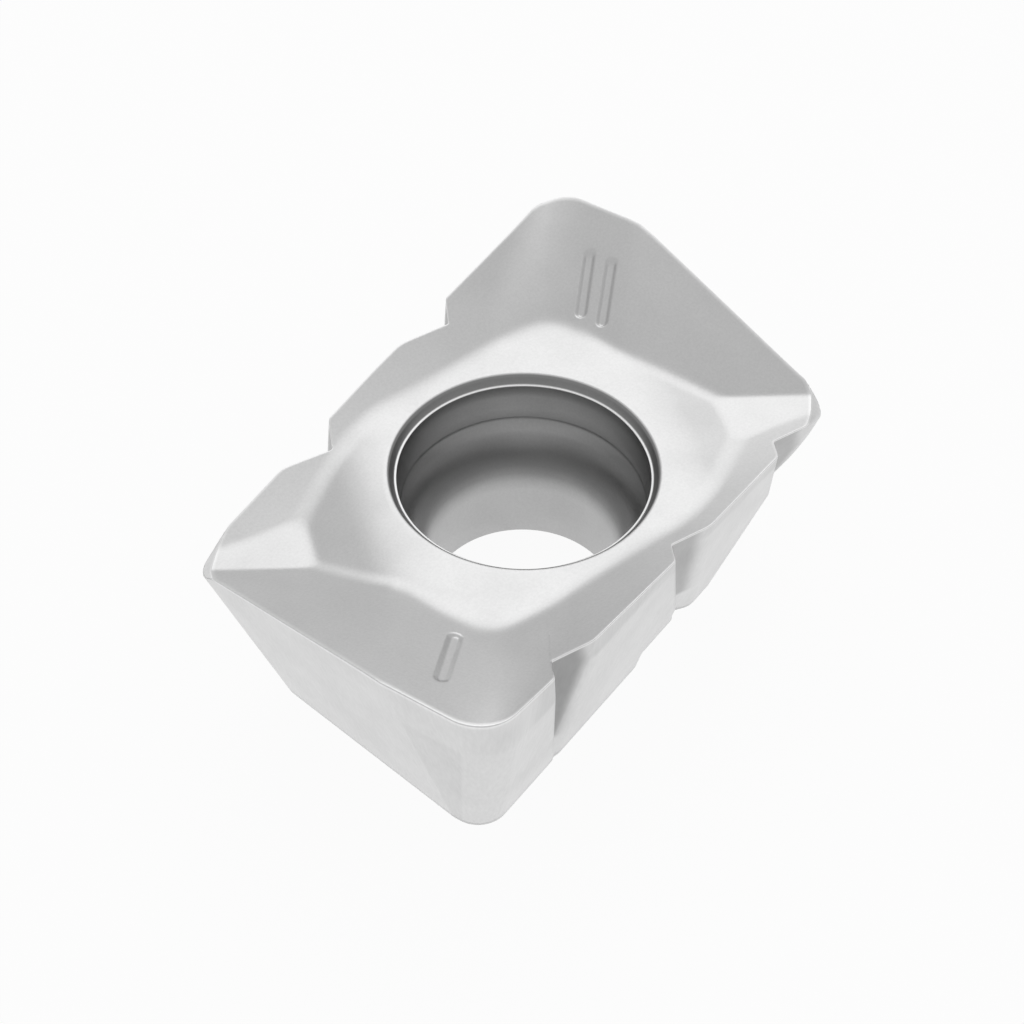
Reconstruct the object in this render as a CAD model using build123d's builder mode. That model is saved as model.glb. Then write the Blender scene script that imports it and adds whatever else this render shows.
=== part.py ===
# Indexable milling insert of sintered carbide: two long cutting edges, right-hand, one screw bore.
# Seat face on Z = 0, bore on the Z axis, long edges along X, all in millimetres. Apart from the
# chip-splitting notches and the index strokes, the form repeats after half a turn about the bore.
# The heights along the edges and the slopes of the top are given on the side at -X and -Y.
import math
import os
from build123d import *

os.makedirs("parts", exist_ok=True)

# thickness at the nose, and how far the flat hub round the bore lies below it
NOSE_HEIGHT = 4.763
HUB_DROP = 1.033

# long cutting edge: falls in a straight line from the nose to the low corner
EDGE_HALF_WIDTH = 3.65
EDGE_MID_DROP = 0.776
EDGE_FALL = 0.1194

# flank under the long edge, with a steeper land that fades out towards mid length
FLANK_RELIEF = 0.2285
FLANK_SKEW = 0.0136
LAND_RELIEF = 0.0896
LAND_SKEW = 0.0232

# short side: a level wiper next to the nose, then the ramping edge down to the low corner
WIPER_REACH = 6.167
WIPER_SKEW = 0.0442
WIPER_RELIEF = 0.2458
WIPER_END = -1.45
RAMP_SKEW = 0.1881
RAMP_FALL = 0.2836
RAMP_RELIEF = 0.2617

# nose radius, slightly smaller at the seat
NOSE_RADIUS = 0.75
NOSE_SEAT_RADIUS = 0.56

# low corner: a flank of more relief under it, and a bevel across its point
LOW_FLANK_LENGTH = 1.93
LOW_FLANK_SKEW = 0.164
LOW_FLANK_RELIEF = 0.365
BEVEL_DEPTH = 0.256
BEVEL_NORMAL = (0.34, -0.62, 0.707)

# pressed top: wings that fall from the hub to the low corners, and a rake behind each edge
WING_BEARING = -38.2
WING_MARGIN = 0.223
WING_FALL = 0.236
LOW_PATCH_DROP = 0.334
EDGE_RAKE = 0.33
EDGE_RAKE_TWIST = 0.0323
RAMP_RAKE = 0.2952
NOSE_RAKE_BEARING = 22.5
NOSE_RAKE_SECTIONS = ((1.3, 0.157, 0.326), (2.6, 0.199, 0.314))
WING_BLEND = 1.5
RAKE_BLEND = 2.0
HUB_BLEND = 1.0
PATCH_BLEND = 0.2
LOW_RIDGE_BLEND = 0.3

# stepped screw seat: rim, ledge, head recess, curved seat and through bore
RIM_RADIUS = 2.475
LEDGE_RADIUS = 2.37
LEDGE_DEPTH = 0.17
RECESS_RADIUS = 2.3
RECESS_DEPTH = 0.84
SEAT_DEPTH = 1.9
BORE_RADIUS = 1.84

# chip-splitting notches: V grooves down the long flanks, staggered from one side to the other
NOTCH_PITCH = 3.65
NOTCH_FROM_NOSE = 2.3
NOTCH_DEPTH = 0.32
NOTCH_STEEP_ANGLE = 46
NOTCH_GRADUAL_ANGLE = 23
NOTCH_TIP_RADIUS = 0.1
NOTCH_REACH = 1.6
NOTCH_BOTTOM = -0.5

# how each groove in turn sweeps along the flank and leans back, per millimetre down
NOTCH_RUNS = ((0.24, 0.125), (0.42, 0.175), (0.42, 0.25))

# index strokes: one behind the wiper of one nose and two behind the other, shallow and round-bottomed
STROKE_LENGTH = 1.2
STROKE_WIDTH = 0.22
STROKE_DEPTH = 0.04
STROKE_BEARING = 27
STROKE_PITCH = 0.49
STROKE_X = 4.59
STROKE_Y = 1.75

HUB_HEIGHT = NOSE_HEIGHT - HUB_DROP
LOW_PATCH_HEIGHT = HUB_HEIGHT - LOW_PATCH_DROP
EDGE_MID_HEIGHT = NOSE_HEIGHT - EDGE_MID_DROP
SEAT_HALF_WIDTH = EDGE_HALF_WIDTH - FLANK_RELIEF * EDGE_MID_HEIGHT
RAMP_REACH = WIPER_REACH + (WIPER_SKEW + RAMP_SKEW) * WIPER_END
RAMP_MID_HEIGHT = NOSE_HEIGHT + RAMP_FALL * WIPER_END
WING_START = RIM_RADIUS + WING_MARGIN
STOCK_RIM = 1.2
STOCK_X = WIPER_REACH + STOCK_RIM
STOCK_Y = EDGE_HALF_WIDTH + STOCK_RIM
STOCK_TOP = NOSE_HEIGHT + 0.6
STOCK_BOTTOM = -4.0
HALF_TURN = (0, 180)


def meet(first, second):
    """Crossing point of two plan lines, each (a, b, c) for a*x + b*y = c."""
    a, b, c = first
    d, e, f = second
    det = a * e - b * d
    return ((c * e - b * f) / det, (a * f - c * d) / det)


def plan_outline(height, long_line):
    """Six corners of the outline at a height, from the planes of the short sides and a long line."""
    seat_reach = RAMP_REACH - RAMP_RELIEF * RAMP_MID_HEIGHT
    seat_skew = RAMP_SKEW - RAMP_RELIEF * RAMP_FALL
    wiper = (1, WIPER_SKEW, WIPER_RELIEF * (NOSE_HEIGHT - height) - WIPER_REACH)
    ramp = (1, -seat_skew, -seat_reach - RAMP_RELIEF * height)
    far_ramp = (1, -seat_skew, seat_reach + RAMP_RELIEF * height)
    half = [meet(ramp, wiper), meet(wiper, long_line), meet(long_line, far_ramp)]
    return half + [(-x, -y) for x, y in half]


def flank_line(height):
    """Plan line of the long flank."""
    return (FLANK_SKEW, 1, -SEAT_HALF_WIDTH - FLANK_RELIEF * height)


def land_line(height):
    """Plan line of the land under the long edge."""
    return (LAND_SKEW, 1, -EDGE_HALF_WIDTH - LAND_RELIEF * (height - EDGE_MID_HEIGHT))


def edge_rake(x, y):
    """Height of the rake behind the long edge, which flattens towards the low corner."""
    slope = EDGE_RAKE - EDGE_RAKE_TWIST * x
    return EDGE_MID_HEIGHT - EDGE_FALL * x - slope * (y + EDGE_HALF_WIDTH)


def ramp_rake(x, y):
    """Height of the flat rake behind the ramping edge."""
    edge_x = -RAMP_REACH + RAMP_SKEW * y
    return RAMP_MID_HEIGHT - RAMP_FALL * y - RAMP_RAKE * (x - edge_x)


def at_nose(vertex, corners):
    """True for the sketch vertices at the two nose corners of an outline."""
    return any(math.dist((vertex.X, vertex.Y), corners[i]) < 0.01 for i in (1, 4))


def is_crease(edge, faces):
    """True for an edge on top, inside the outline, where two of the faces meet at an angle."""
    middle = edge.position_at(0.5)
    if middle.Z < LOW_PATCH_HEIGHT - 0.01 or abs(middle.X) > STOCK_X - 0.5 or abs(middle.Y) > STOCK_Y - 0.5:
        return False
    normals = [f.normal_at(middle) for f in faces if any(edge.is_same(e) for e in f.edges())]
    return len(normals) == 2 and 2 < normals[0].get_angle(normals[1]) < 60


def is_low_ridge(edge):
    """True for the upright edge between the ramping side's flank and the flank under a low corner."""
    middle = edge.center()
    low_side = middle.X * middle.Y < 0 and abs(middle.X) > low_x + LOW_FLANK_LENGTH - 0.5
    return low_side and edge.length > LOW_PATCH_HEIGHT / 2 and abs(edge.tangent_at(0.5).Z) > 0.7


def top_height(x, y):
    """Height of the pressed top above a point in plan."""
    return max(point.Z for point, _ in top_form.part.find_intersection_points(Axis((x, y, 0), (0, 0, 1))))


# flanks of the blank
with BuildPart() as flank_form:
    for level, radius in ((0, NOSE_SEAT_RADIUS), (STOCK_TOP, NOSE_RADIUS)):
        corners = plan_outline(level, flank_line(level))
        with BuildSketch(Plane.XY.offset(level)) as outline:
            with BuildLine():
                Polyline(*corners, close=True)
            make_face()
            fillet([v for v in outline.vertices() if at_nose(v, corners)], radius)
    loft(ruled=True)

# steeper land round the noses and along the first half of the long edges
with BuildPart() as land_form:
    for level in (-0.5, STOCK_TOP):
        corners = plan_outline(level, land_line(level))
        with BuildSketch(Plane.XY.offset(level)) as outline:
            with BuildLine():
                Polyline(*corners, close=True)
            make_face()
            fillet([v for v in outline.vertices() if at_nose(v, corners)], NOSE_RADIUS)
    loft(ruled=True)

# hub with its two falling wings
bearing = math.radians(WING_BEARING)
wing_axis = Vector(math.cos(bearing), math.sin(bearing), 0)
wing_plane = Plane(origin=(0, 0, 0), x_dir=wing_axis, z_dir=wing_axis.cross(Vector(0, 0, 1)))
wing_end = STOCK_X + STOCK_Y
wing_end_height = HUB_HEIGHT - WING_FALL * (wing_end - WING_START)
with BuildPart() as hub_form:
    with BuildSketch(wing_plane) as profile:
        with BuildLine():
            Polyline(
                (-wing_end, STOCK_BOTTOM),
                (wing_end, STOCK_BOTTOM),
                (wing_end, wing_end_height),
                (WING_START, HUB_HEIGHT),
                (-WING_START, HUB_HEIGHT),
                (-wing_end, wing_end_height),
                close=True,
            )
        make_face()
        crests = [v for v in profile.vertices() if abs(v.Y - HUB_HEIGHT) < 0.001]
        fillet(crests, WING_BLEND)
    extrude(amount=wing_end, both=True)

# twisted rake behind a long edge
with BuildPart() as edge_form:
    for y in (-STOCK_Y, EDGE_HALF_WIDTH / 2):
        with BuildSketch(Plane.XZ.offset(-y)):
            with BuildLine():
                Polyline(
                    (-STOCK_X, STOCK_BOTTOM),
                    (STOCK_X, STOCK_BOTTOM),
                    (STOCK_X, edge_rake(STOCK_X, y)),
                    (-STOCK_X, edge_rake(-STOCK_X, y)),
                    close=True,
                )
            make_face()
    loft(ruled=True)

# end rake: flat behind the ramping edge, and curving down round the nose behind the wiper
rake_axis = Vector(1, 0, 0).rotate(Axis.Z, NOSE_RAKE_BEARING)
rake_side = rake_axis.cross(Vector(0, 0, 1))
crest_x, crest_y = meet((1, WIPER_SKEW, -WIPER_REACH), (1, -RAMP_SKEW, -RAMP_REACH))
ramp_sections = []
for offset in (-2 * STOCK_Y, 0):
    foot = Vector(crest_x, crest_y, 0) + rake_side * offset
    along = [foot + rake_axis * run for run in (-STOCK_RIM, WIPER_REACH)]
    ramp_sections.append((offset, ramp_rake(along[0].X, along[0].Y), ramp_rake(along[1].X, along[1].Y)))
nose_sections = [ramp_sections[1]]
for offset, drop, fall in NOSE_RAKE_SECTIONS:
    crest_height = NOSE_HEIGHT - drop
    nose_sections.append((offset, crest_height + fall * STOCK_RIM, crest_height - fall * WIPER_REACH))
with BuildPart() as end_form:
    for sections in (ramp_sections, nose_sections):
        for offset, outer_height, inner_height in sections:
            foot = Vector(crest_x, crest_y, 0) + rake_side * offset
            with BuildSketch(Plane(origin=foot, x_dir=rake_axis, z_dir=rake_side)):
                with BuildLine():
                    Polyline(
                        (-STOCK_RIM, STOCK_BOTTOM),
                        (WIPER_REACH, STOCK_BOTTOM),
                        (WIPER_REACH, inner_height),
                        (-STOCK_RIM, outer_height),
                        close=True,
                    )
                make_face()
        loft(ruled=sections is ramp_sections)
    crest = end_form.edges().filter_by(lambda e: (e.center() - Vector(crest_x, crest_y, 0)).dot(rake_side) < 0.01)
    crest = crest.filter_by(lambda e: (e.center() - Vector(crest_x, crest_y, 0)).dot(rake_side) > -0.01)
    fillet(crest.sort_by(Axis.Z)[-1], RAKE_BLEND)

# pressed top: the highest of the hub, the rakes and the low patches
with BuildPart() as top_form:
    add(hub_form.part)
    with Locations((0, 0, STOCK_BOTTOM)):
        Box(
            2 * STOCK_X,
            2 * STOCK_Y,
            LOW_PATCH_HEIGHT - STOCK_BOTTOM,
            align=(Align.CENTER, Align.CENTER, Align.MIN),
        )
    for turn in HALF_TURN:
        add(edge_form.part, rotation=(0, 0, turn))
        add(end_form.part, rotation=(0, 0, turn))
    creases = top_form.edges().filter_by(lambda e: is_crease(e, top_form.faces()))
    fillet(creases.filter_by(lambda e: e.center().Z > LOW_PATCH_HEIGHT + 0.01), HUB_BLEND)
    creases = top_form.edges().filter_by(lambda e: is_crease(e, top_form.faces()))
    fillet(creases, PATCH_BLEND)


with BuildPart() as insert_body:
    add(flank_form.part)
    add(land_form.part, mode=Mode.INTERSECT)
    add(top_form.part, mode=Mode.INTERSECT)

    # flank of more relief under each low corner, and the bevel across its point
    seat_corner_x = plan_outline(0, flank_line(0))[2][0]
    low_x, low_y = meet(flank_line(0), (1, 0, seat_corner_x - LOW_FLANK_LENGTH))
    tip_x, tip_y = meet(flank_line(LOW_PATCH_HEIGHT), (1, -RAMP_SKEW, RAMP_REACH))
    tip = Vector(tip_x, tip_y, EDGE_MID_HEIGHT - EDGE_FALL * tip_x)
    bevel_origin = tip - Vector(*BEVEL_NORMAL).normalized() * BEVEL_DEPTH
    for turn in (1, -1):
        flank_origin = (low_x * turn, low_y * turn, 0)
        flank_normal = (LOW_FLANK_SKEW * turn, -turn, -LOW_FLANK_RELIEF)
        split(bisect_by=Plane(origin=flank_origin, z_dir=flank_normal), keep=Keep.BOTTOM)
        bevel_point = (bevel_origin.X * turn, bevel_origin.Y * turn, bevel_origin.Z)
        bevel_normal = (BEVEL_NORMAL[0] * turn, BEVEL_NORMAL[1] * turn, BEVEL_NORMAL[2])
        split(bisect_by=Plane(origin=bevel_point, z_dir=bevel_normal), keep=Keep.BOTTOM)

    ridges = insert_body.edges().filter_by(lambda e: is_low_ridge(e))
    fillet(ridges, LOW_RIDGE_BLEND)

    # stepped bore with the curved screw seat
    with BuildSketch(Plane.XZ):
        with BuildLine():
            Line((0, STOCK_BOTTOM), (BORE_RADIUS, STOCK_BOTTOM))
            Line((BORE_RADIUS, STOCK_BOTTOM), (BORE_RADIUS, HUB_HEIGHT - SEAT_DEPTH))
            TangentArc(
                (BORE_RADIUS, HUB_HEIGHT - SEAT_DEPTH),
                (RECESS_RADIUS, HUB_HEIGHT - RECESS_DEPTH),
                tangent=(0, 1),
            )
            Line((RECESS_RADIUS, HUB_HEIGHT - RECESS_DEPTH), (LEDGE_RADIUS - 0.03, HUB_HEIGHT - LEDGE_DEPTH))
            Line((LEDGE_RADIUS - 0.03, HUB_HEIGHT - LEDGE_DEPTH), (LEDGE_RADIUS, HUB_HEIGHT - LEDGE_DEPTH))
            Line((LEDGE_RADIUS, HUB_HEIGHT - LEDGE_DEPTH), (RIM_RADIUS, HUB_HEIGHT))
            Line((RIM_RADIUS, HUB_HEIGHT), (RIM_RADIUS, STOCK_TOP))
            Line((RIM_RADIUS, STOCK_TOP), (0, STOCK_TOP))
            Line((0, STOCK_TOP), (0, STOCK_BOTTOM))
        make_face()
    revolve(axis=Axis.Z, mode=Mode.SUBTRACT)

    # chip-splitting grooves, as V cuts that lean back less than the flank and sweep along it
    groove_drop = STOCK_TOP - NOTCH_BOTTOM
    first_notch = NOTCH_FROM_NOSE - WIPER_REACH
    steep_run = NOTCH_REACH / math.tan(math.radians(NOTCH_STEEP_ANGLE))
    gradual_run = NOTCH_REACH / math.tan(math.radians(NOTCH_GRADUAL_ANGLE))
    for side in (1, -1):
        start = first_notch if side == 1 else first_notch + NOTCH_PITCH / 2
        for i in range(3 if side == 1 else 2):
            sweep, relief = NOTCH_RUNS[i]
            apex_x = start + NOTCH_PITCH * i
            rise = STOCK_TOP - (EDGE_MID_HEIGHT - EDGE_FALL * apex_x)
            top_x = apex_x - sweep * rise
            top_y = NOTCH_DEPTH - EDGE_HALF_WIDTH - relief * rise
            with BuildSketch(Plane.XY.offset(STOCK_TOP)) as groove:
                with BuildLine():
                    Polyline(
                        (side * top_x, side * top_y),
                        (side * (top_x - steep_run), side * (top_y - NOTCH_REACH)),
                        (side * (top_x + gradual_run), side * (top_y - NOTCH_REACH)),
                        close=True,
                    )
                make_face()
                tip = groove.vertices().sort_by_distance((side * top_x, side * top_y))[0]
                fillet(tip, NOTCH_TIP_RADIUS)
            direction = Vector(side * sweep, side * relief, -1)
            extrude(amount=groove_drop * direction.length, dir=direction, mode=Mode.SUBTRACT)

    # index strokes, as round bars with round ends sunk into the rake behind each nose
    bar_radius = (STROKE_WIDTH**2 / 4 + STROKE_DEPTH**2) / (2 * STROKE_DEPTH)
    stroke_axis = Vector(1, 0, 0).rotate(Axis.Z, STROKE_BEARING)
    stroke_side = Vector(0, 0, 1).cross(stroke_axis)
    for side, count in ((-1, 1), (1, 2)):
        for i in range(count):
            middle = Vector(STROKE_X, STROKE_Y, 0) - stroke_side * STROKE_PITCH * i
            ends = [side * (middle + stroke_axis * run) for run in (-STROKE_LENGTH / 2, STROKE_LENGTH / 2)]
            sunk = [Vector(end.X, end.Y, top_height(end.X, end.Y) + bar_radius - STROKE_DEPTH) for end in ends]
            bar = sunk[1] - sunk[0]
            with Locations(Plane(origin=(sunk[0] + sunk[1]) / 2, z_dir=bar)):
                Cylinder(bar_radius, bar.length, mode=Mode.SUBTRACT)
            with Locations(sunk):
                Sphere(bar_radius, mode=Mode.SUBTRACT)

insert_body.part.label = "insert_body"
export_step(insert_body.part, "parts/insert_body.step")
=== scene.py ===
import math
import bpy
from mathutils import Euler, Matrix, Vector


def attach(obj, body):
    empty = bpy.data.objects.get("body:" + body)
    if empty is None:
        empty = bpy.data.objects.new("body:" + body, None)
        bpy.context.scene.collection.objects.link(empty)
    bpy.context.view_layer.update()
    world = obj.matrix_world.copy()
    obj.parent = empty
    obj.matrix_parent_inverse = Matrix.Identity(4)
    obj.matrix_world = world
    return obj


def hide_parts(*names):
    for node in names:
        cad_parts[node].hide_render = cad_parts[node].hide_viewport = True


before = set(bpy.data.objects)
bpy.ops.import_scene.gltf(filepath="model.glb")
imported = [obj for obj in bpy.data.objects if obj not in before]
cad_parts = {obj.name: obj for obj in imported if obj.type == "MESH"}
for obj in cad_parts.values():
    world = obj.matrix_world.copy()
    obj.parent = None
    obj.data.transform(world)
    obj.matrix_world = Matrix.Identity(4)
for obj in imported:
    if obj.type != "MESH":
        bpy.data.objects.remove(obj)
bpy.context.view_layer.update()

bpy.ops.object.select_all(action="DESELECT")


# The carbide insert: one solid block of bare tungsten carbide, pressed with its chip former and its
# screw seat, sintered, and ground on the flanks. One screw through the bore fixes it. Its two halves
# are the same, turned about the bore, apart from the chip-splitting grooves in the long sides.

# sizes in millimetres from the middle of the bore at the seat face, and slopes per millimetre
HUB = 3.730
LOW_PATCH = 3.396
# height of the long edge at the middle, its fall along the side, its distance out, its bow
LONG_EDGE = (3.987, 0.1194, 3.6496, 0.00234)
# slope of the rake behind that edge, and how the slope turns along the side
LONG_RAKE = (0.33, 0.0323)
# distance out of each flank at the seat, its skew along the side, its lean outwards with height
LONG_FLANK = (2.7385, 0.0136, 0.2285)
LONG_LAND = (3.2924, 0.0232, 0.0896)
LOW_FLANK = (3.1697, -0.164, 0.365)
WIPER_FLANK = (4.996, 0.0442, 0.2458)
RAMP_FLANK = (4.683, -0.1139, 0.2617)
# height of the rake behind the ramping edge, its slope, its distance out, its slope along the edge
RAMP_RAKE = (4.353, 0.2952, 5.8224, 0.2281)
# end of the wiper at the nose, from which the nose rake is measured
WIPER_END = (-6.104, -1.436)
NOSE_RAKE_BEARING = math.radians(22.5)
# height of the nose's crest, and its coefficients across the nose: near the wiper, then farther on
CREST = 4.7607
CREST_NEAR = (0.0976, 0.055, 0.027)
CREST_FAR = (0.1652, 0.034)
RAMP_BLEND = 0.068
# where the hub starts to fall to the wings at the low corners, and how steeply
WING_BEARING = math.radians(-38.2)
WING = (2.698, 0.236)
BEVEL_POINT = Vector((5.04, -3.146, 3.44))
BEVEL_NORMAL = Vector((0.34, -0.62, 0.707))


def higher(a, b, blend):
    """The higher of two values, rounded over where they are within the blend of each other."""
    share = max(blend - abs(a - b), 0) / blend
    return max(a, b) + share * share * blend / 4


def lower(a, b, blend):
    """The lower of two values, rounded over in the same way."""
    return -higher(-a, -b, blend)


def ease(value, start, end):
    """From 0 at the start to 1 at the end, easing in and out."""
    t = min(max((value - start) / (end - start), 0), 1)
    return t * t * (3 - 2 * t)


def long_rake(x, y):
    """Height of the twisted rake behind a long edge."""
    height, fall, out, bow = LONG_EDGE
    slope, twist = LONG_RAKE
    return height - fall * x - (slope - twist * x) * (y + out - bow * x * x)


# fall of the nose rake, steepest behind the middle of the nose: distance across, slope
NOSE_FALL = ((-1.6, 0.0), (-0.45, 0.382), (0.45, 0.390), (0.9, 0.385), (2.6, 0.282))


def end_rake(x, y):
    """Height behind the short side: a plane behind the ramping edge, a curved fall at the nose."""
    c, s = math.cos(NOSE_RAKE_BEARING), math.sin(NOSE_RAKE_BEARING)
    a = (x - WIPER_END[0]) * c + (y - WIPER_END[1]) * s
    b = max((x - WIPER_END[0]) * s - (y - WIPER_END[1]) * c, -2.0)
    linear_near, square_near, cube_near = CREST_NEAR
    crest = CREST - linear_near * b - square_near * b * b + cube_near * b ** 3
    linear_far, square_far = CREST_FAR
    crest += (CREST - linear_far * b + square_far * b * b - crest) * ease(b, 1.4, 2.4)
    fall = NOSE_FALL[0][1]
    for (start, before), (end, after) in zip(NOSE_FALL, NOSE_FALL[1:]):
        fall += (after - before) * ease(b, start, end)
    height, slope, out, along = RAMP_RAKE
    return lower(crest - fall * a, height - slope * (x + out) - along * y, RAMP_BLEND)


# index strokes, plain hollows: one behind the wiper of one nose, two behind the other.
# x and y of the middle, bearing, half length, half width, depth
STROKES = (
    (-4.67, -1.79, 27.0, 0.60, 0.145, 0.055),
    (4.531, 1.727, 27.0, 0.60, 0.130, 0.070),
    (4.563, 1.243, 26.3, 0.60, 0.130, 0.070),
)
STROKE_SURROUND = 0.2


def from_stroke(x, y, stroke):
    """How far a point lies past a stroke's straight part, and how far across it."""
    mid_x, mid_y, bearing, half_length, _, _ = stroke
    c, s = math.cos(math.radians(bearing)), math.sin(math.radians(bearing))
    along = (x - mid_x) * c + (y - mid_y) * s
    across = (y - mid_y) * c - (x - mid_x) * s
    return max(abs(along) - half_length, 0), across


def near_stroke(x, y, stroke):
    """Whether a point lies on a stroke or just beside it."""
    past, across = from_stroke(x, y, stroke)
    return past < STROKE_SURROUND and abs(across) < STROKE_SURROUND


def stroke_depth(x, y):
    """How deep the index strokes lie at a point of the top."""
    depth = 0.0
    for stroke in STROKES:
        half_width, deep = stroke[4:]
        away = math.hypot(*from_stroke(x, y, stroke))
        depth += deep * (1 - ease(away, half_width * 0.30, half_width * 1.10))
    return depth


RAKE_BLEND = 0.16
WING_BLEND = 0.16
HUB_BLEND = 0.09
PATCH_BLEND = 0.022


def top_height(x, y):
    """Height of the pressed top: hub and wings, rakes and low patches run into one another."""
    out = abs(x * math.cos(WING_BEARING) + y * math.sin(WING_BEARING))
    height = lower(HUB, HUB - WING[1] * (out - WING[0]), WING_BLEND)
    for turn in (1, -1):
        long, end = long_rake(x * turn, y * turn), end_rake(x * turn, y * turn)
        height = higher(height, higher(long, end, RAKE_BLEND), HUB_BLEND)
    return higher(height, LOW_PATCH, PATCH_BLEND) - stroke_depth(x, y)


def past_flank(flank, out, along, z):
    """How far a point stands outside a leaning flank."""
    base, skew, relief = flank
    return -(out + base + skew * along + relief * z)


LAND_BLEND = 0.004
LOW_FLANK_BLEND = 0.01


def plain_side(x, y, z):
    """How far a point stands outside the flank, land and low flank of a long side."""
    side = higher(past_flank(LONG_FLANK, y, x, z), past_flank(LONG_LAND, y, x, z), LAND_BLEND)
    return higher(side, past_flank(LOW_FLANK, y, x, z), LOW_FLANK_BLEND)


# chip-splitting grooves of one long side and of the other, measured on that side:
# x at the edge, depth there, sweep and relief per millimetre down, slopes of the two walls
GROOVES = {
    1: (
        (-3.88, 0.350, 0.245, 0.138, 1.00, 0.46),
        (-0.24, 0.300, 0.42, 0.178, 0.90, 0.42),
        (3.42, 0.330, 0.42, 0.25, 0.85, 0.40),
    ),
    -1: (
        (-2.10, 0.350, 0.30, 0.14, 1.00, 0.36),
        (1.58, 0.420, 0.42, 0.19, 1.10, 0.45),
    ),
}
GROOVE_BLEND = 0.05
GROOVE_OVERLAP = 0.02
# the shallow hollow at the foot of the second groove
HOLLOW = 0.09


def long_side(x, y, z, turn):
    """The same as the plain side, with the grooves cut in and the hollow at the foot of the second."""
    side = plain_side(x, y, z)
    for edge_x, depth, sweep, relief, steep, gradual in GROOVES[turn]:
        drop = LONG_EDGE[0] - LONG_EDGE[1] * edge_x - z
        run = x - edge_x - sweep * drop
        wall = higher(-steep * run, gradual * run, GROOVE_BLEND)
        floor = depth - LONG_EDGE[2] + GROOVE_OVERLAP + relief * drop
        side = higher(side, floor - wall - y, GROOVE_BLEND)
    if turn == 1:
        side += HOLLOW * ease(x, -0.2, 0.2) * ease(x, 1.75, 1.3) * ease(z, 1.1, 0.1)
    return side


def short_side(x, y, z):
    """How far a point stands outside the flanks of the wiper and the ramping edge."""
    return higher(past_flank(WIPER_FLANK, x, y, z), past_flank(RAMP_FLANK, x, y, z), LAND_BLEND)


def corner(a, b, radius):
    """Two sides joined by a round corner."""
    if a > -radius and b > -radius:
        return math.hypot(a + radius, b + radius) - radius
    return max(a, b)


# round of the nose at the seat, how it widens with height, and the round of the low corners
NOSE_ROUND = (0.56, 0.0354)
LOW_CORNER_ROUND = 0.3
BEVEL_BLEND = 0.02


def outside(x, y, z):
    """How far a point stands outside the block's sides, below zero inside."""
    nose = NOSE_ROUND[0] + NOSE_ROUND[1] * z
    near, far = long_side(x, y, z, 1), long_side(-x, -y, z, -1)
    left, right = short_side(x, y, z), short_side(-x, -y, z)
    value = max(corner(near, left, nose), corner(far, right, nose))
    value = max(value, corner(near, right, LOW_CORNER_ROUND), corner(far, left, LOW_CORNER_ROUND))
    for turn in (1, -1):
        bevel = (Vector((x * turn, y * turn, z)) - BEVEL_POINT).dot(BEVEL_NORMAL) / 0.7071
        value = higher(value, bevel, BEVEL_BLEND)
    return value


def at(column, out, z):
    """The point at a distance out from a column's foot, at a height."""
    foot_x, foot_y, way_x, way_y = column
    return foot_x + way_x * out, foot_y + way_y * out, z


def reach(column, z):
    """Where a line out from a column's foot leaves the block at a height."""
    low, high = 0.0, 4.5
    near, far = outside(*at(column, low, z)), outside(*at(column, high, z))
    for _ in range(9):
        middle = low - near * (high - low) / (far - near)
        value = outside(*at(column, middle, z))
        if abs(value) < 1e-6:
            break
        if value > 0:
            high, far = middle, value
            near *= 0.5
        else:
            low, near = middle, value
            far *= 0.5
    return middle


# feet of the columns, half way round: along the long side, round the nose, up the short side in two
# runs and round the low corner; the second half is the same, turned
LOW_FOOT = (3.56, -1.96)
NOSE_FOOT = (-4.32, -2.12)
BEND_FOOT = (-4.02, -1.04)
LONG_COLUMNS = 178
NOSE_COLUMNS = 60
WIPER_COLUMNS = 24
RAMP_COLUMNS = 26
LOW_CORNER_COLUMNS = 50

half = []
for i in range(LONG_COLUMNS):
    x = LOW_FOOT[0] + (NOSE_FOOT[0] - LOW_FOOT[0]) * i / LONG_COLUMNS
    y = LOW_FOOT[1] + (NOSE_FOOT[1] - LOW_FOOT[1]) * ease(x, LOW_FOOT[0], NOSE_FOOT[0])
    half.append((x, y, 0.0, -1.0))
for i in range(NOSE_COLUMNS):
    angle = -math.pi / 2 * (1 + i / NOSE_COLUMNS)
    half.append((*NOSE_FOOT, math.cos(angle), math.sin(angle)))
turned_low_foot = (-LOW_FOOT[0], -LOW_FOOT[1])
short_runs = ((NOSE_FOOT, BEND_FOOT, WIPER_COLUMNS), (BEND_FOOT, turned_low_foot, RAMP_COLUMNS))
for start, end, count in short_runs:
    for i in range(count):
        x = start[0] + (end[0] - start[0]) * i / count
        half.append((x, start[1] + (end[1] - start[1]) * i / count, -1.0, 0.0))
for i in range(LOW_CORNER_COLUMNS):
    angle = -math.pi * (1 + i / LOW_CORNER_COLUMNS / 2)
    half.append((*turned_low_foot, math.cos(angle), math.sin(angle)))
columns = half + [tuple(-value for value in column) for column in half]

SEAT_ROUND = 0.03
FLANK_ROWS = 22
LAND_ROWS = 12
HONE_ROWS = 6
TOP_ROWS = 48
# radius of the hone, as made on the short sides and on the long edges
SHORT_HONE = 0.022
LONG_HONE = 0.016
HONE_STEP = 0.05
# least height of the land, and the height of its foot, which falls along the side
LAND_LEAST = 0.35
LAND_FOOT = (3.988, 0.0691)


def find_edge(column):
    """Distance out and height of the edge, where the top meets the side."""
    edge_z = 4.0
    for _ in range(7):
        edge_z = top_height(*at(column, reach(column, edge_z), 0)[:2])
    return reach(column, edge_z), edge_z


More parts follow.
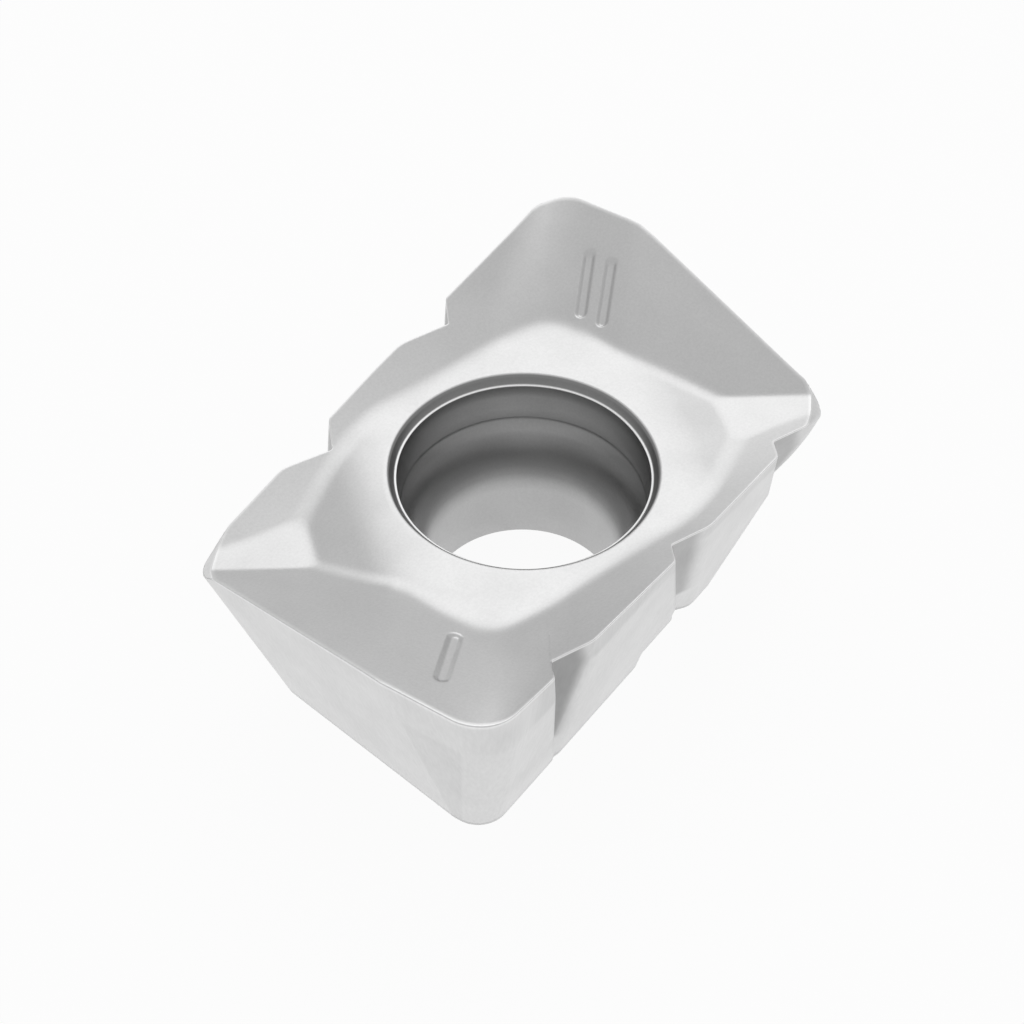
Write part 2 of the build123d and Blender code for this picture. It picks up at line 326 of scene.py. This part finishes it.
def hone_points(column, edge_out, edge_z):
    """The small arc between the flank and the rake, in the upright plane of the column."""
    _, _, way_x, way_y = column
    edge_x, edge_y, _ = at(column, edge_out, 0)
    hone = SHORT_HONE if abs(way_x) > 0.9 or abs(edge_x) > 5.6 else LONG_HONE
    down = Vector((reach(column, edge_z - HONE_STEP) - edge_out, -HONE_STEP)).normalized()
    inward_z = top_height(edge_x - way_x * HONE_STEP, edge_y - way_y * HONE_STEP)
    inward = Vector((-HONE_STEP, inward_z - edge_z)).normalized()
    wedge = down.angle(inward)
    run = hone / math.tan(wedge / 2)
    tip = Vector((edge_out, edge_z))
    first, last = tip + down * run, tip + inward * run
    centre = tip + (down + inward).normalized() * hone / math.sin(wedge / 2)
    turning = math.pi - wedge
    arc = []
    for i in range(1, HONE_ROWS):
        share = i / HONE_ROWS
        spoke = (first - centre) * math.sin((1 - share) * turning)
        spoke += (last - centre) * math.sin(share * turning)
        arc.append(centre + spoke / math.sin(turning))
    return [first, *arc, last]


def side_heights(edge_x, edge_z, top_z):
    """Heights of the rows up a side, closer together on the land below the hone."""
    below_edge = edge_z - LAND_FOOT[0] + LAND_FOOT[1] * abs(edge_x)
    land_z = edge_z - higher(LAND_LEAST, below_edge, 0.1)
    flank = [SEAT_ROUND + (land_z - SEAT_ROUND) * i / FLANK_ROWS for i in range(FLANK_ROWS)]
    return flank + [land_z + (top_z - land_z) * i / LAND_ROWS for i in range(LAND_ROWS)]


# the bore from the hub down, as radius and drop below the hub: a rounded shoulder, a steep wall, a
# narrow ledge, the recess for the screw's head, its curved seat and the clearance bore
SHOULDER = 0.11
RIM_RADIUS = 2.443
rim = []
for i in range(7):
    angle = 0.2 * i
    rim.append((RIM_RADIUS + SHOULDER * (1 - math.sin(angle)), SHOULDER * (1 - math.cos(angle))))
ledge = [
    (2.428, 0.105), (2.395, 0.160), (2.384, 0.172), (2.376, 0.175),
    (2.352, 0.176), (2.344, 0.179), (2.340, 0.190),
]
seat = [
    (2.334, 0.45), (2.325, 0.75), (2.318, 0.96), (2.313, 0.985), (2.290, 1.015), (2.178, 1.197),
    (2.101, 1.334), (2.034, 1.482), (1.977, 1.642), (1.9465, 1.749), (1.9085, 1.903), (1.874, 2.091),
    (1.852, 2.294), (1.8415, 2.510), (1.84, 2.70), (1.84, 3.1), (1.84, 3.66), (1.845, 3.70), (1.87, HUB),
]
bore = rim[1:] + ledge + seat
# how far out a column points at the rim, and where the two rows on the seat face lie
RIM_AIM = 1.7
SEAT_FACE_ROWS = (0.2, 0.9)


def ring_of(column):
    """One ring of points: up the side, over the hone and the top, down the bore, along the seat."""
    edge_out, edge_z = find_edge(column)
    hone = hone_points(column, edge_out, edge_z)
    edge_x, _, _ = at(column, edge_out, 0)
    ring = [at(column, reach(column, 0.0) - SEAT_ROUND, 0.0)]
    ring += [at(column, reach(column, z), z) for z in side_heights(edge_x, edge_z, hone[0].y)]
    ring += [at(column, point.x, point.y) for point in hone]
    start_x, start_y, _ = ring[-1]
    out_x, out_y, _ = at(column, RIM_AIM, 0)
    spread = math.hypot(out_x, out_y)
    out_x, out_y = out_x / spread, out_y / spread
    rim_x, rim_y = out_x * rim[0][0], out_y * rim[0][0]
    for i in range(1, TOP_ROWS + 1):
        share = i / TOP_ROWS
        x, y = start_x + (rim_x - start_x) * share, start_y + (rim_y - start_y) * share
        ring.append((x, y, top_height(x, y)))
    hub_z = ring[-1][2]
    for radius, drop in bore:
        ring.append((out_x * radius, out_y * radius, hub_z * (1 - drop / HUB)))
    seat_x, seat_y, _ = ring[0]
    foot = bore[-1][0]
    for share in SEAT_FACE_ROWS:
        x = out_x * foot * (1 - share) + seat_x * share
        ring.append((x, out_y * foot * (1 - share) + seat_y * share, 0.0))
    return ring


rings = [ring_of(column) for column in columns]
rounds = len(rings[0])
top_row = 1 + FLANK_ROWS + LAND_ROWS + HONE_ROWS + 1
bore_row = top_row + TOP_ROWS
seat_row = rounds - len(SEAT_FACE_ROWS)


def groove_painted_shade(x, y, z):
    """Painted shade on groove walls: 1 on the near groove's wall, less on the others, and 0 on the ground
    flank beside them.
    """
    share = 0.0
    for turn in (1, -1):
        inset = -plain_side(x * turn, y * turn, z)
        first = x * turn < -3
        on_wall = inset > 0.01 and abs(long_side(x * turn, y * turn, z, turn)) < 0.01
        if on_wall and (first or z > 1.0):
            share = max(share, (1.0 if first else 0.7) * ease(inset, 0.01, 0.16))
    return share


def wiper_share(x, y, z):
    """A little on the wiper's flank, and 0 beside it."""
    for turn in (1, -1):
        wiper = past_flank(WIPER_FLANK, x * turn, y * turn, z)
        if abs(wiper) < 0.002 and short_side(x * turn, y * turn, z) < wiper + LAND_BLEND:
            return 0.10
    return 0.0


def painted_shade_share(x, y, z, row):
    """How much painted shade darkens the metal: on groove walls, on the lands near the nose and down the
    bore; a little on the wiper's flank.
    """
    if row < top_row:
        # painted shade on the lands and hones near the nose; on the flank rows, the wiper's small share
        beside = 0.18 * ease(abs(x), 4.9, 4.4) if row > FLANK_ROWS else wiper_share(x, y, z)
        return max(groove_painted_shade(x, y, z), beside)
    down = row - bore_row
    shoulder = 2 <= down < len(rim) + 1
    below_ledge = down >= len(rim) + len(ledge) - 2
    # painted shade down the bore, in darker and lighter bands by height, on the shoulder's wall and below
    # the ledge
    if row < seat_row and (shoulder or below_ledge):
        return 1.0 - 0.65 * ease(z, 2.8, 2.6) + 0.65 * ease(z, 2.45, 1.85) - 0.48 * ease(z, 1.70, 1.25)
    return 0.0


def painted_highlight_share(row):
    """Painted highlight: 1 on the hone of the edges, part of it on the ledge in the bore."""
    if top_row - HONE_ROWS - 1 <= row < top_row:
        return 1.0
    return 0.6 if len(rim) + 2 <= row - bore_row < len(rim) + len(ledge) - 2 else 0.0


# the block is one closed ring round its bore, so it starts as a grid that is wrapped round both ways
bpy.ops.mesh.primitive_grid_add(
    x_subdivisions=rounds,
    y_subdivisions=len(rings),
    size=0.012,
    location=(0, 0, 0),
)
insert = bpy.context.object
insert.name = "carbide_insert"
# attributes: where the skin is pressed, where shade is painted darker, and where a highlight is painted
# lighter
pressed = insert.data.attributes.new("pressed", "FLOAT", "POINT")
painted_shade = insert.data.attributes.new("painted_shade", "FLOAT", "POINT")
painted_highlight = insert.data.attributes.new("painted_highlight", "FLOAT", "POINT")
for index, vertex in enumerate(insert.data.vertices):
    along, row = divmod(index, rounds + 1)
    row %= rounds
    x, y, z = rings[along % len(rings)][row]
    vertex.co = (x / 1000, y / 1000, z / 1000)
    pressed.data[index].value = 1.0 if top_row <= row < seat_row else 0.0
    painted_shade.data[index].value = painted_shade_share(x, y, z, row)
    painted_highlight.data[index].value = painted_highlight_share(row)
bpy.ops.object.mode_set(mode="EDIT")
bpy.ops.mesh.select_all(action="SELECT")
bpy.ops.mesh.remove_doubles(threshold=0.0000001)
bpy.ops.mesh.normals_make_consistent(inside=False)
bpy.ops.mesh.select_all(action="DESELECT")
bpy.ops.mesh.select_mode(type="FACE")
bpy.ops.object.mode_set(mode="OBJECT")
# finer faces round the index strokes, set down on the form again
for face in insert.data.polygons:
    x, y, z = face.center * 1000
    on_top = z > 3.6 and abs(face.normal.z) > 0.6
    face.select = on_top and any(near_stroke(x, y, stroke) for stroke in STROKES)
bpy.ops.object.mode_set(mode="EDIT")
bpy.ops.mesh.subdivide(number_cuts=3)
bpy.ops.object.mode_set(mode="OBJECT")
for vertex in insert.data.vertices:
    if vertex.select:
        vertex.co.z = top_height(vertex.co.x * 1000, vertex.co.y * 1000) / 1000
bpy.ops.object.shade_smooth()
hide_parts("insert_body")
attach(insert, "root")

# Bare tungsten carbide gives the eye a bright neutral grey with a satin sheen.
CARBIDE = "#D9D9D9"
# Painted shade: the same metal drawn darker, and a little rougher, down the bore, on groove walls and on the
# lands near the nose; a little of the darker grey lies on the wiper's flank too. How much of it lies where
# was set to follow the photograph.
PAINTED_SHADE_GREY = "#989898"
# A painted highlight: the hones of the edges and part of the ledge in the bore are drawn lighter, as a thin
# bright line.
PAINTED_HIGHLIGHT_GREY = "#ECECEC"
SATIN = 0.31


def linear(hex_colour):
    """An sRGB colour written as #RRGGBB, as the linear values that the shader wants."""
    values = [int(hex_colour[i:i + 2], 16) / 255 for i in (1, 3, 5)]
    return [v / 12.92 if v <= 0.04045 else ((v + 0.055) / 1.055) ** 2.4 for v in values] + [1.0]


def add_node(owner, kind, settings, sockets):
    """A node with its settings, and its sockets filled with values or with other nodes' outputs."""
    node = owner.node_tree.nodes.new(kind)
    for name, value in settings.items():
        setattr(node, name, value)
    for socket, value in sockets.items():
        if isinstance(value, bpy.types.NodeSocket):
            owner.node_tree.links.new(value, node.inputs[socket])
        else:
            node.inputs[socket].default_value = value
    return node


carbide = bpy.data.materials.new("bare_tungsten_carbide")
carbide.use_nodes = True
shader = carbide.node_tree.nodes["Principled BSDF"]
where = add_node(carbide, "ShaderNodeTexCoord", {}, {})
painted_shade_mask = add_node(carbide, "ShaderNodeAttribute", {"attribute_name": "painted_shade"}, {})
pressed_mask = add_node(carbide, "ShaderNodeAttribute", {"attribute_name": "pressed"}, {})
painted_highlight_mask = add_node(carbide, "ShaderNodeAttribute", {"attribute_name": "painted_highlight"}, {})
# sintered grain: real grains are a few thousandths of a millimetre, too fine to show in the render,
# so they are drawn as coarse as they need to show
GRAIN = 0.00005
grain = add_node(
    carbide, "ShaderNodeTexNoise", {},
    {"Vector": where.outputs["Object"], "Scale": 1 / GRAIN, "Detail": 2.0, "Roughness": 0.6},
)
# patches a little under a millimetre across, where the skin is a little duller
PATCH = 0.0009
patches = add_node(
    carbide, "ShaderNodeTexNoise", {},
    {"Vector": where.outputs["Object"], "Scale": 1 / PATCH, "Detail": 3.0, "Roughness": 0.5},
)
# grinding lines run up the flanks, from the seat to the edge; real ones are finer, and these are
# drawn as coarse as they need to show
GRINDING_LINE = 0.00006
stretched = add_node(
    carbide, "ShaderNodeMapping", {},
    {"Vector": where.outputs["Object"], "Scale": (1.0, 1.0, 0.02)},
)
lines = add_node(
    carbide, "ShaderNodeTexNoise", {},
    {"Vector": stretched.outputs[0], "Scale": 1 / GRINDING_LINE, "Detail": 2.0, "Roughness": 0.5},
)
surface = add_node(
    carbide, "ShaderNodeMix", {"data_type": "FLOAT"},
    {0: pressed_mask.outputs["Fac"], 2: lines.outputs["Fac"], 3: grain.outputs["Fac"]},
)
# painted shade: the darker grey mixed in by its mask
painted_shade_colour = add_node(
    carbide, "ShaderNodeMix", {"data_type": "RGBA"},
    {0: painted_shade_mask.outputs["Fac"], 6: linear(CARBIDE), 7: linear(PAINTED_SHADE_GREY)},
)
# painted highlight: the lighter grey mixed in on the hones and the ledge
bright = add_node(
    carbide, "ShaderNodeMix", {"data_type": "RGBA"},
    {0: painted_highlight_mask.outputs["Fac"], 6: painted_shade_colour.outputs[2], 7: linear(PAINTED_HIGHLIGHT_GREY)},
)
tone = add_node(
    carbide, "ShaderNodeMapRange", {},
    {0: surface.outputs[0], 1: 0.3, 2: 0.7, 3: 0.965, 4: 1.035},
)
colour = add_node(
    carbide, "ShaderNodeVectorMath", {"operation": "SCALE"},
    {0: bright.outputs[2], "Scale": tone.outputs[0]},
)
carbide.node_tree.links.new(colour.outputs[0], shader.inputs["Base Color"])
sheen = add_node(
    carbide, "ShaderNodeMapRange", {},
    {0: patches.outputs["Fac"], 1: 0.35, 2: 0.65, 3: SATIN - 0.02, 4: SATIN + 0.03},
)
dull = add_node(
    carbide, "ShaderNodeMath", {"operation": "MULTIPLY_ADD"},
    {0: painted_shade_mask.outputs["Fac"], 1: 0.06, 2: sheen.outputs[0]},
)
carbide.node_tree.links.new(dull.outputs[0], shader.inputs["Roughness"])
SKIN_DEPTH = 0.0000015
skin = add_node(
    carbide, "ShaderNodeBump", {},
    {"Strength": 0.5, "Distance": SKIN_DEPTH, "Height": surface.outputs[0]},
)
carbide.node_tree.links.new(skin.outputs[0], shader.inputs["Normal"])
shader.inputs["Metallic"].default_value = 1.0
insert.data.materials.append(carbide)

# The studio: a sheet of white paper that the camera and the metal see as white, an even sky and a
# large softbox behind the insert. Their strengths were set to follow the photograph.
PAPER = 0.9
PAPER_GLOW = 0.94
bpy.ops.mesh.primitive_plane_add(size=8.0, location=(0, 0, 0))
floor = bpy.context.object
floor.name = "studio_floor"
paper = bpy.data.materials.new("white_paper_sweep")
paper.use_nodes = True
paper_shader = paper.node_tree.nodes["Principled BSDF"]
paper_shader.inputs["Base Color"].default_value = (PAPER, PAPER, PAPER, 1)
paper_shader.inputs["Roughness"].default_value = 0.9
glow = add_node(paper, "ShaderNodeEmission", {}, {"Strength": 1.0})
path = add_node(paper, "ShaderNodeLightPath", {}, {})
seen = add_node(
    paper, "ShaderNodeMath", {"operation": "MAXIMUM"},
    {0: path.outputs["Is Camera Ray"], 1: path.outputs["Is Glossy Ray"]},
)
seen_too = add_node(
    paper, "ShaderNodeMath", {"operation": "MAXIMUM"},
    {0: seen.outputs[0], 1: path.outputs["Is Transmission Ray"]},
)
share = add_node(paper, "ShaderNodeMath", {"operation": "MULTIPLY"}, {0: seen_too.outputs[0], 1: PAPER_GLOW})
mix = add_node(
    paper, "ShaderNodeMixShader", {},
    {0: share.outputs[0], 1: paper_shader.outputs[0], 2: glow.outputs[0]},
)
paper.node_tree.links.new(mix.outputs[0], paper.node_tree.nodes["Material Output"].inputs["Surface"])
floor.data.materials.append(paper)

world = bpy.data.worlds.new("studio")
bpy.context.scene.world = world
world.use_nodes = True
sky = world.node_tree.nodes["Background"]
sky.inputs["Color"].default_value = (1, 1, 1, 1)
# the camera sees the sky past the sheet's far edge as white as the sheet
SKY = 0.592
past = add_node(world, "ShaderNodeLightPath", {}, {})
strength = add_node(
    world, "ShaderNodeMath", {"operation": "MULTIPLY_ADD"},
    {0: past.outputs["Is Camera Ray"], 1: 1 - SKY, 2: SKY},
)
world.node_tree.links.new(strength.outputs[0], sky.inputs["Strength"])

SOFTBOX_DISTANCE = 0.3
box = bpy.data.lights.new("softbox", "AREA")
box.shape = "DISK"
box.size = 0.272
box.energy = 0.132
softbox = bpy.data.objects.new("softbox", box)
bpy.context.collection.objects.link(softbox)
aim = Vector((0.6160, 0.3317, 0.7145))
softbox.location = Vector((0, 0, 0.0037)) + aim * SOFTBOX_DISTANCE
softbox.rotation_euler = aim.to_track_quat("Z", "Y").to_euler()

bpy.context.scene.view_settings.view_transform = "Standard"

# The camera looks down on the insert from the working nose's side, at the photograph's angle.
ELEVATION = math.radians(46.85)
BEARING = math.radians(-54.5)
ROLL = math.radians(0.18)
# shift to the right, shift up and distance, as multiples of the outer radius of the screw seat
CAMERA_UNIT = 0.002475
SHIFT_RIGHT = -0.0873
SHIFT_UP = -0.3358
DISTANCE = 14.6
camera_data = bpy.data.cameras.new("camera")
camera = bpy.data.objects.new("camera", camera_data)
bpy.context.collection.objects.link(camera)
bpy.context.scene.camera = camera
camera_data.lens = 69.4
camera_data.sensor_width = 36
camera_data.clip_start = 0.001
away = Vector((0.8141, 0.5807, 0))
right = Vector((0.5807, -0.8141, 0))
upright = Vector((0, 0, 1))
up = away * math.sin(ELEVATION) + upright * math.cos(ELEVATION)
back = -away * math.cos(ELEVATION) + upright * math.sin(ELEVATION)
offset = right * SHIFT_RIGHT + up * SHIFT_UP + back * DISTANCE
camera.location = upright * 0.00373 + offset * CAMERA_UNIT
turn = Euler((math.pi / 2 - ELEVATION, 0, BEARING)).to_matrix()
camera.rotation_euler = (turn @ Matrix.Rotation(ROLL, 3, "Z")).to_euler()
